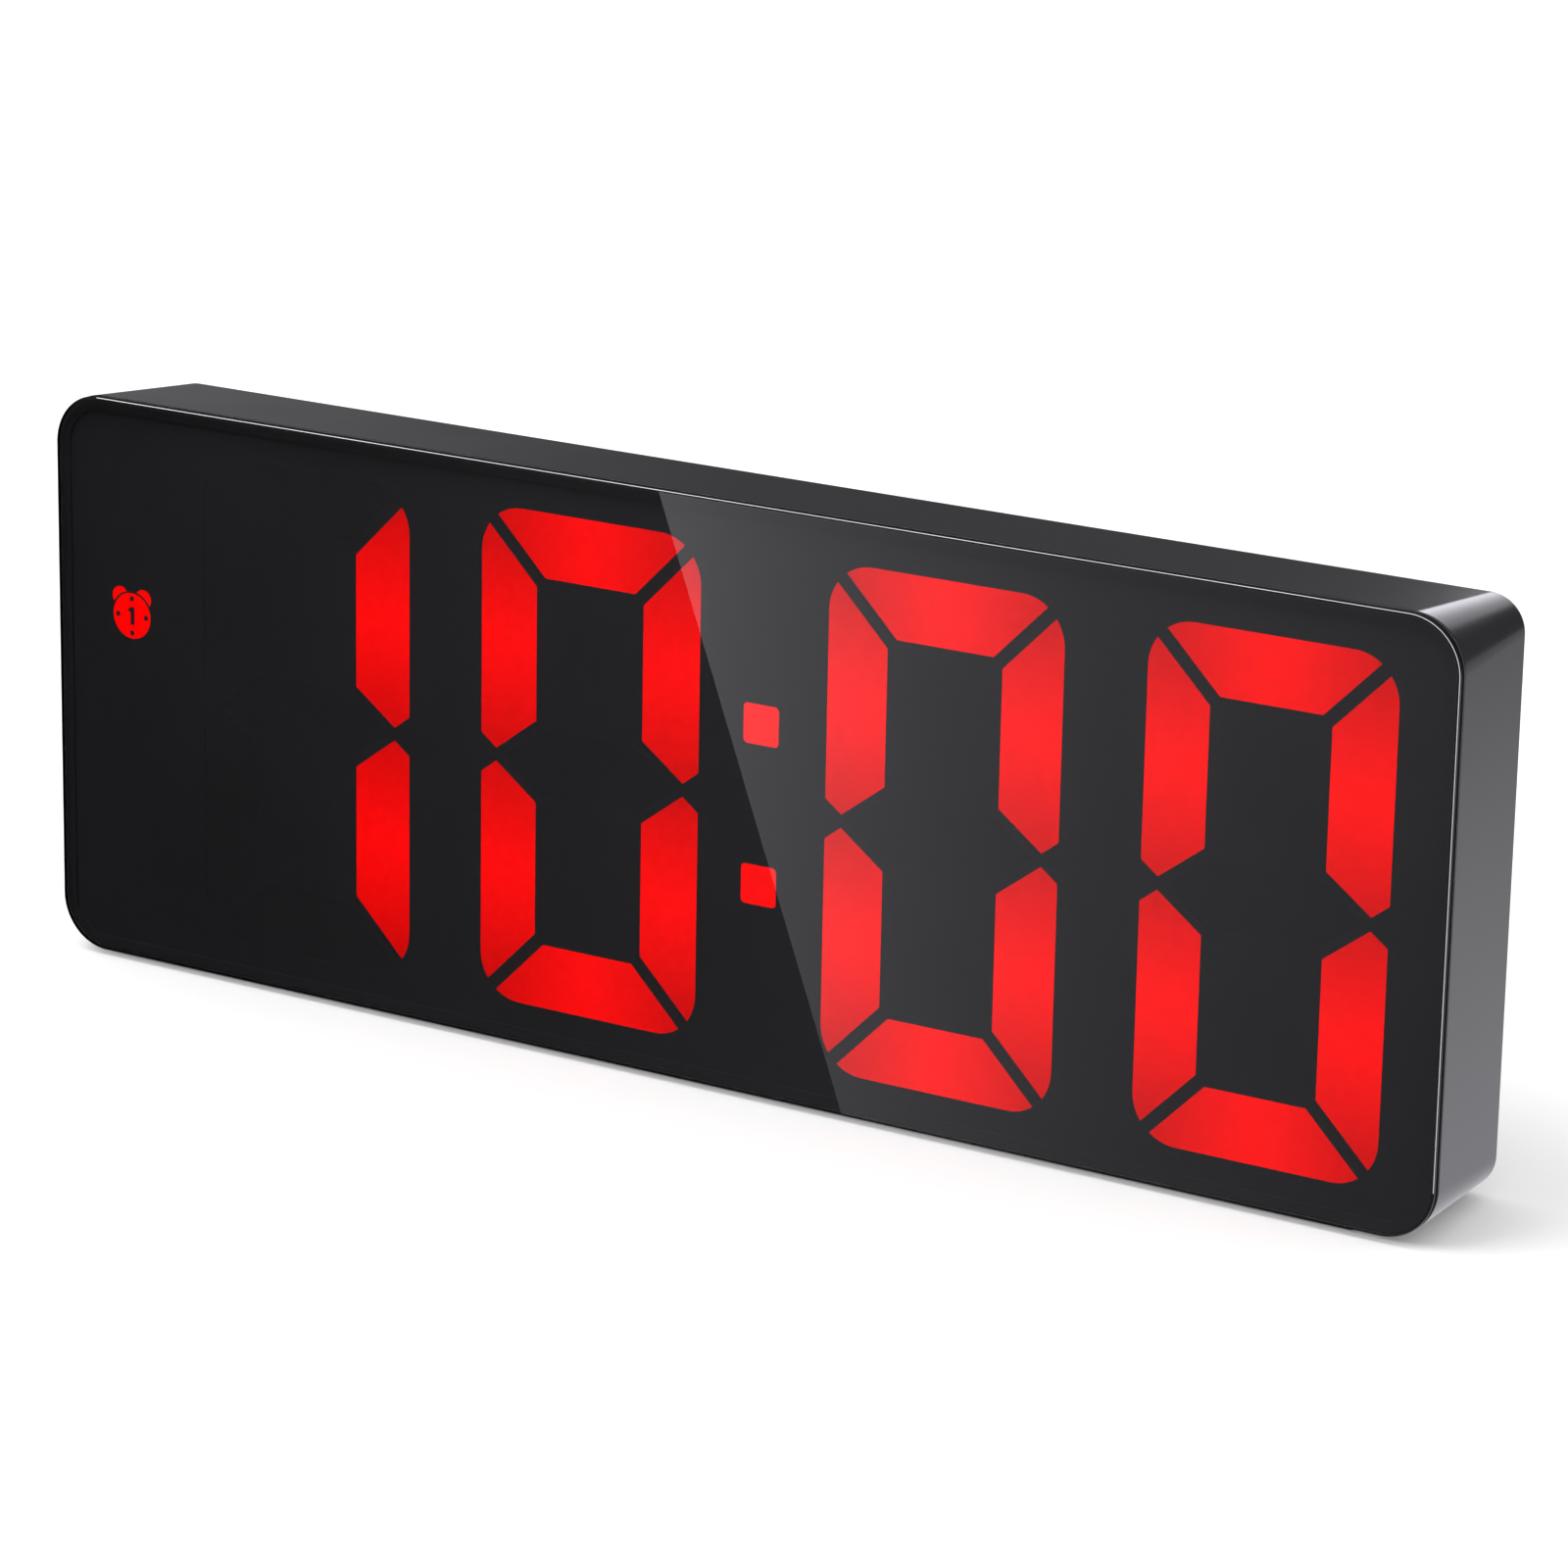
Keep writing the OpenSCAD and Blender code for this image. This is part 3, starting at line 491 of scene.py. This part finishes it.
def case_moulding():
    """The four walls, with a fine radius at the front and a larger one round the rear."""
    front, rear = case_lo.y, case_hi.y
    fine, edge, support = CASE_FRONT_EDGE, CASE_REAR_EDGE, CASE_SUPPORT
    profile = [(fine + support, front)]
    profile += arc(fine, front + fine, fine, 270, 180, 5)
    profile += [(0, front + fine + support), (0, rear - edge - support)]
    profile += arc(edge, rear - edge, edge, 180, 90, 10)
    profile += [(WALL - 2 * fine, rear)]
    profile += arc(WALL - fine, rear - fine, fine, 90, 0, 3)
    profile += [(WALL, rear - fine - support), (WALL, front + fine + support)]
    profile += arc(WALL - fine, front + fine, fine, 0, -90, 3)
    bm = bmesh.new()
    loft(bm, [case_loop(inset, y) for inset, y in profile], closed=True)
    screw_posts(bm)
    new_piece("case_moulding", bm, "root", finishes["case_plastic"], ("case_shell",))


def screw_posts(bm):
    """Hollow posts inside the case, one for each case screw."""
    screws_lo, screws_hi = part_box("case_screws")
    end = case_hi.y - PAD_GAP
    start = end - BOSS_DEPTH
    for x in (screws_lo.x + SCREW_HEAD_R, screws_hi.x - SCREW_HEAD_R):
        for z in (screws_lo.z + SCREW_HEAD_R, screws_hi.z - SCREW_HEAD_R):
            profile = ((BOSS_R, start), (BOSS_R, end), (PILOT_R, end), (PILOT_R, start))
            loft(bm, [disc(x, z, radius, y) for radius, y in profile], closed=True)


def lens_piece(name, finish, profile, replaced=(), **ends):
    """A piece of the lens, from the depth of its outline at each inset."""
    bm = bmesh.new()
    loops = [
        rounded_loop(lens_hi.x - inset, lens_lo.z + inset, lens_hi.z - inset, CORNER_R - inset, y)
        for inset, y in profile
    ]
    loft(bm, loops, **ends)
    return new_piece(name, bm, "root", finish, replaced)


def lens_edge():
    """Polished bevel round the lens, and a dull step behind it that reads as a seam: the dark side of the
    lens, its colour made near black as painted shade of the seam.
    """
    front, soft, bevel = lens_lo.y, LENS_SOFT, LENS_BEVEL
    inner, low = bevel + soft, front + bevel + soft
    # two points on the rounded front edge of the bevel, which its rear edge mirrors
    rounding = [(bevel + 0.3 * soft, 0.13 * soft), (bevel - 0.7 * soft, 0.7 * soft)]
    profile = [(inner, front)]
    profile += [(across, front + back) for across, back in rounding]
    profile += [(back, front + across) for across, back in reversed(rounding)]
    profile += [(0, low), (inner, low)]
    lens_piece("lens_edge", polished_edge, profile, closed=True)
    start, end = low + LENS_JOIN, front + LENS_STEP
    profile = [(inner, start), (0, start), (0, end), (LENS_REBATE, end)]
    lens_piece("lens_seam", seam_shade_paint, profile, closed=True)


def lens_panel():
    """Flat polished acrylic inside the bevel."""
    front, rear = lens_lo.y, lens_hi.y - LENS_CLEARANCE
    side, back = LENS_BEVEL + LENS_SOFT + LENS_JOIN, LENS_REBATE + LENS_JOIN
    profile = [
        (side + LENS_MARGIN, front), (side, front), (back, front + LENS_STEP), (back, rear),
        (back + LENS_MARGIN, rear),
    ]
    panel = lens_piece("lens_panel", finishes["smoked_acrylic"], profile, ("front_lens",), caps=True)
    panel.visible_shadow = False     # the studio light reaches the print behind the panel


case_moulding()
lens_edge()
lens_panel()

# ---------- rear ----------
# Outlines of icons are in millimetres.

ICON_R = 1.1
ICON_RISE = 0.08 * MM       # how far an icon stands out of its button, and how far it goes in
RING_HOLE_R = 0.7
STROKE_HALF = (1.1, 0.17)   # half a stroke's width and height
STROKE_GAP = 0.75           # between the middles of two strokes
TRIANGLE = (1.05, 0.7, 0.95)    # half its width, and how far its foot and its tip are from the middle
MOON_OPENING = 60           # degrees from the middle of the opening to a tip
MOON_BITE = 0.75            # from the middle of the moon to the middle of the circle cut out of it
ARROW = [(-1.8, 1), (1.8, 1), (0, -1.3)]    # points down
ARROW_DEPTH = 0.25 * MM     # how deep the arrow lies in the battery door
ARROW_DROP = 11.8 * MM      # from the top of the door to the arrow


def raised(bm, outline, x, z, low, high):
    """Raises an outline round (x, z) between two depths."""
    loops = [[Vector((x + a * MM, y, z + b * MM)) for a, b in outline] for y in (low, high)]
    loft(bm, loops, caps=True)


def triangle(way):
    """A triangle that points up or down."""
    half, foot, tip = TRIANGLE
    return [(-half, -foot * way), (half, -foot * way), (0, tip * way)]


def crescent():
    """A moon: a circle, less a second circle that passes through its two tips."""
    tip_a = ICON_R * math.cos(math.radians(MOON_OPENING))
    tip_b = ICON_R * math.sin(math.radians(MOON_OPENING))
    inner_r = math.hypot(MOON_BITE - tip_a, tip_b)
    turn = math.degrees(math.atan2(tip_b, tip_a - MOON_BITE))
    outer = arc(0, 0, ICON_R, MOON_OPENING, 360 - MOON_OPENING, 20)
    inner = arc(MOON_BITE, 0, inner_r, 360 - turn, turn, 14)
    return outer + inner[1:-1]


def strokes():
    """Three short lines, one above the other."""
    half, rise = STROKE_HALF
    heights = (-STROKE_GAP, 0, STROKE_GAP)
    return [[(-half, b - rise), (half, b - rise), (half, b + rise), (-half, b + rise)] for b in heights]


def button_icon(word):
    """Raised icon on the cap of a button."""
    low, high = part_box(f"{word}_button")
    x, z = (low.x + high.x) / 2, (low.z + high.z) / 2
    base, top = high.y - ICON_RISE, high.y + ICON_RISE
    bm = bmesh.new()
    if word == "set":
        profile = ((ICON_R, base), (ICON_R, top), (RING_HOLE_R, top), (RING_HOLE_R, base))
        loft(bm, [disc(x, z, radius * MM, y) for radius, y in profile], closed=True)
    else:
        drawn = {"mode": strokes(), "down": [triangle(-1)], "up": [triangle(1)], "snooze": [crescent()]}
        for outline in drawn[word]:
            raised(bm, outline, x, z, base, top)
    new_piece(f"{word}_icon", bm, f"{word}_button", icon_paint)


def door_arrow():
    """Shape that is cut out of the battery door."""
    door_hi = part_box("battery_door")[1]
    bm = bmesh.new()
    raised(bm, ARROW, 0, door_hi.z - ARROW_DROP, door_hi.y - ARROW_DEPTH, door_hi.y + ARROW_DEPTH)
    bmesh.ops.recalc_face_normals(bm, faces=bm.faces)
    return bm


refined("rear_panel", "rear_cover", "root", "cover_plastic", PANEL_EDGE)
refined("door_panel", "battery_door", "battery_door", "cover_plastic", PANEL_EDGE, door_arrow())
for word in ("mode", "set", "down", "up", "snooze"):
    refined(f"{word}_cap", f"{word}_button", f"{word}_button", "button_plastic", CAP_EDGE)
    button_icon(word)
refined("cover_screws", "case_screws", "root", "screw_steel", SCREW_EDGE)
refined("foot_pads", "rubber_feet", "root", "foot_rubber", PAD_EDGE)
refined("socket_shell", "usb_socket", "root", "socket_steel", SOCKET_EDGE)

# ---------- camera ----------

CAMERA_PLACE = Vector((0.2999, -0.4722, 0.1904))
CAMERA_AZIMUTH = math.radians(32.10)
CAMERA_ELEVATION = math.radians(16.03)
CAMERA_ROLL = math.radians(1.08)
CAMERA_LENS = 134.21        # for a sensor 36 mm wide


def make_camera():
    camera = bpy.data.objects.new("camera", bpy.data.cameras.new("camera"))
    camera.data.lens = CAMERA_LENS
    camera.data.sensor_width = 36.0
    turn = Matrix.Rotation(CAMERA_AZIMUTH, 4, "Z")
    tip = Matrix.Rotation(math.pi / 2 - CAMERA_ELEVATION, 4, "X")
    roll = Matrix.Rotation(CAMERA_ROLL, 4, "Z")
    camera.matrix_world = Matrix.Translation(CAMERA_PLACE) @ turn @ tip @ roll
    bpy.context.scene.collection.objects.link(camera)
    bpy.context.scene.camera = camera


make_camera()

# ---------- studio ----------

STUDIO_WHITE = (0.985, 0.985, 1.05, 1.0)
FLOOR_SIZE = 6.0
FLOOR_TONES = (0.90, 0.92)
FLOOR_LIFT = 0.1            # keeps the floor pale where the clock shades it
KEY_PLACE = Vector((-0.5, -0.6, 1.1))
KEY_SIZE = 0.9
KEY_POWER = 9.0
# Cards that the camera sees mirrored in the face of the lens
MIRROR_REACH = 0.5
MIRROR_SPARE = 10 * MM      # how far the cards go past the edge of the lens
SHEEN_REACH = 0.49          # the pale card stands in front of the dark one
SHEEN_TOP = -5.8 * MM       # where the slanting edge of the sheen meets the top of the face
SHEEN_FOOT = 16.8 * MM
SHEEN_FADE = 34 * MM
LENS_SHINE = 0.041          # share of light that the lens reflects towards the camera
# The light of these cards as it shows in the lens: its base, and its change for each metre
DARK_BASE = 0.005
DARK_ACROSS = 0.083
DARK_UP = 0.036
SHEEN_BASE = 0.004
SHEEN_PEAK = 0.0535         # added at the middle of the face, and fading to the right
SHEEN_UP = 0.10
# Narrow card that the camera sees mirrored in the bevel of the lens
STRIP_STEPS = 12            # facets of the strip round the corner
STRIP_REACH = 0.6
STRIP_WIDTH = 0.10
STRIP_SPARE = 5 * MM
STRIP_FADE = (-0.45, 0.0)
STRIP_LIGHT = (9.5, 8.5)
# Cards under the floor, which show in the gloss of the side and of the rear
UNDER_FLOOR = -1 * MM
FLOOR_REACH = 1.2
FLOOR_SPLIT = case_hi.x - 9 * MM
FLOOR_FADE = (0.0, 0.27)
FLOOR_LIGHT = (0.97, 0.38)


def fading(axis, places, lights):
    """Paint whose light changes steadily between two places along an axis."""
    return lambda tree, x, y, z: span(tree, {"X": x, "Y": y}[axis], *places, *lights)


def dark_paint(tree, x, y, z):
    """Light of the dark card, as strong as it has to be to show in the lens."""
    across = maths(tree, "MULTIPLY_ADD", x, DARK_ACROSS / LENS_SHINE, DARK_BASE / LENS_SHINE)
    return maths(tree, "MAXIMUM", maths(tree, "MULTIPLY_ADD", z, DARK_UP / LENS_SHINE, across), 0.0)


def sheen_paint(tree, x, y, z):
    """Light of the pale card, which fades away to the right."""
    fade = maths(tree, "EXPONENT", maths(tree, "MULTIPLY", x, -1 / SHEEN_FADE))
    base = maths(tree, "MULTIPLY_ADD", fade, SHEEN_PEAK / LENS_SHINE, SHEEN_BASE / LENS_SHINE)
    return maths(tree, "MULTIPLY_ADD", z, SHEEN_UP / LENS_SHINE, base)


def glow(name, paint):
    """A plain glowing surface. paint makes its strength from the place on it."""
    made, tree = new_tree(name)
    strength = paint(tree, *split(tree, place_in_object(tree)))
    finish_material(tree, add(tree, "Emission", {"Color": STUDIO_WHITE, "Strength": strength}))
    return made


def sheet(name, rows, finish):
    """A thin surface of the studio, spanned between rows of two points."""
    bm = bmesh.new()
    ends = [[bm.verts.new(corner) for corner in row] for row in rows]
    for row, following in zip(ends, ends[1:]):
        bm.faces.new((row[0], row[1], following[1], following[0]))
    mesh = bpy.data.meshes.new(name)
    bm.to_mesh(mesh)
    bm.free()
    mesh.materials.append(finish)
    made = bpy.data.objects.new(name, mesh)
    bpy.context.scene.collection.objects.link(made)
    return made


def card(name, rows, finish):
    """A sheet that shows only as a reflection."""
    made = sheet(name, rows, finish)
    made.visible_camera = False
    made.visible_diffuse = False
    made.visible_transmission = False
    made.visible_volume_scatter = False
    made.visible_shadow = False
    return made


def mirrored_card(name, outline, paint, reach):
    """A card seen in the lens where its outline is drawn.

    It is drawn on the face of the lens and then sent out along the mirrored lines of sight.
    """
    eye = CAMERA_PLACE.copy()
    eye.y = 2 * lens_lo.y - eye.y
    left_foot, right_foot, right_top, left_top = [(x, lens_lo.y, z) for x, z in outline]
    made = card(name, [(left_foot, right_foot), (left_top, right_top)], glow(name, paint))
    made.location = eye * -reach
    made.scale = (1 + reach,) * 3


def make_lens_cards():
    low, high = lens_lo.z - MIRROR_SPARE, lens_hi.z + MIRROR_SPARE
    left, right = lens_lo.x - MIRROR_SPARE, lens_hi.x + MIRROR_SPARE
    slope = (SHEEN_FOOT - SHEEN_TOP) / (lens_hi.z - lens_lo.z)
    top = SHEEN_TOP - slope * MIRROR_SPARE
    foot = SHEEN_FOOT + slope * MIRROR_SPARE
    dark = [(left, low), (foot, low), (top, high), (left, high)]
    pale = [(foot, low), (right, low), (right, high), (top, high)]
    mirrored_card("dark_card", dark, dark_paint, MIRROR_REACH)
    mirrored_card("sheen_card", pale, sheen_paint, SHEEN_REACH)


def make_bevel_strip():
    """Card along the mirrored lines of sight to the top and the right side of the bevel."""
    corner = Vector((lens_hi.x - CORNER_R, lens_lo.y, lens_hi.z - CORNER_R))
    turns = [math.radians(90 * step / STRIP_STEPS) for step in range(STRIP_STEPS + 1)]
    outward = [Vector((math.sin(turn), 0, math.cos(turn))) for turn in turns]
    left = Vector((lens_lo.x - STRIP_SPARE, lens_lo.y, lens_hi.z))
    foot = Vector((lens_hi.x, lens_lo.y, lens_lo.z - STRIP_SPARE))
    edge = [(left, outward[0])]
    edge += [(corner + way * CORNER_R, way) for way in outward]
    edge += [(foot, outward[-1])]
    spots = []
    ways = []
    for place, way in edge:
        look = (place - CAMERA_PLACE).normalized()
        ways.append(look.reflect((way - Vector((0, 1, 0))).normalized()))
        spots.append(place + ways[-1] * STRIP_REACH)
    rows = []
    for k, spot in enumerate(spots):
        ahead = spots[min(k + 1, len(spots) - 1)] - spots[max(k - 1, 0)]
        across = ways[k].cross(ahead).normalized() * STRIP_WIDTH / 2
        rows.append((spot - across, spot + across))
    card("bevel_strip", rows, glow("bevel_strip", fading("X", STRIP_FADE, STRIP_LIGHT)))


def upright_card(name, across, up, y, places, lights):
    """A card behind the clock, whose light changes along X."""
    rows = [[(x, y, z) for x in across] for z in up]
    card(name, rows, glow(name, fading("X", places, lights)))


def make_floor_cards():
    """Two cards just under the floor, at the side of the clock and behind it."""
    light = glow("floor_light", fading("Y", FLOOR_FADE, FLOOR_LIGHT))
    beside = ("side_floor_card", (FLOOR_SPLIT, FLOOR_REACH), lens_lo.y)
    behind = ("rear_floor_card", (-FLOOR_REACH, FLOOR_SPLIT), case_hi.y)
    for name, across, front in (beside, behind):
        card(name, [[(x, y, UNDER_FLOOR) for x in across] for y in (front, FLOOR_REACH)], light)


def make_floor():
    made, tree = new_tree("studio_floor")
    cloud = noise(tree, place_in_object(tree), scale=3.0)
    low, high = FLOOR_TONES
    tone = ramp(tree, cloud, [(NOISE_LOW, (low,) * 3), (NOISE_HIGH, (high,) * 3)])
    shader = add(tree, "BsdfPrincipled", {
        "Base Color": tone, "Roughness": 0.9, "Emission Color": (1, 1, 1, 1),
        "Emission Strength": FLOOR_LIFT,
    })
    finish_material(tree, shader)
    rows = [((-FLOOR_SIZE, y, 0), (FLOOR_SIZE, y, 0)) for y in (-FLOOR_SIZE, FLOOR_SIZE)]
    floor = sheet("studio_floor", rows, made)
    floor.visible_glossy = False
    floor.visible_transmission = False


def make_world():
    world = bpy.data.worlds.new("studio")
    bpy.context.scene.world = world
    world.use_nodes = True
    background = world.node_tree.nodes["Background"]
    background.inputs["Color"].default_value = (1.0, 1.0, 1.0, 1.0)
    background.inputs["Strength"].default_value = 1.0
    world.cycles_visibility.glossy = False
    world.cycles_visibility.transmission = False
    bpy.context.scene.view_settings.view_transform = "Standard"


def make_key():
    """A square soft light aimed at the middle of the clock."""
    lamp = bpy.data.lights.new("key", "AREA")
    lamp.shape = "SQUARE"
    lamp.size = KEY_SIZE
    lamp.energy = KEY_POWER
    key = bpy.data.objects.new("key", lamp)
    key.location = KEY_PLACE
    key.rotation_mode = "QUATERNION"
    key.rotation_quaternion = ((cad_box[0] + cad_box[1]) / 2 - KEY_PLACE).to_track_quat("-Z", "Y")
    key.visible_camera = False
    key.visible_glossy = False
    key.visible_transmission = False
    bpy.context.scene.collection.objects.link(key)


make_world()
make_floor()
make_lens_cards()
make_key()
make_bevel_strip()
# the pale band round the upper right corner of the case
upright_card("corner_card", across=(-0.14, 0.11), up=(0.115, 0.26), y=0.5, places=(-0.14, 0.11),
             lights=(3.2, 0.9))
# the tone of the top of the case
upright_card("horizon_card", across=(-1.5, 0.6), up=(0.0, 0.3), y=0.6, places=(-0.55, -0.375),
             lights=(0.235, 0.09))
make_floor_cards()
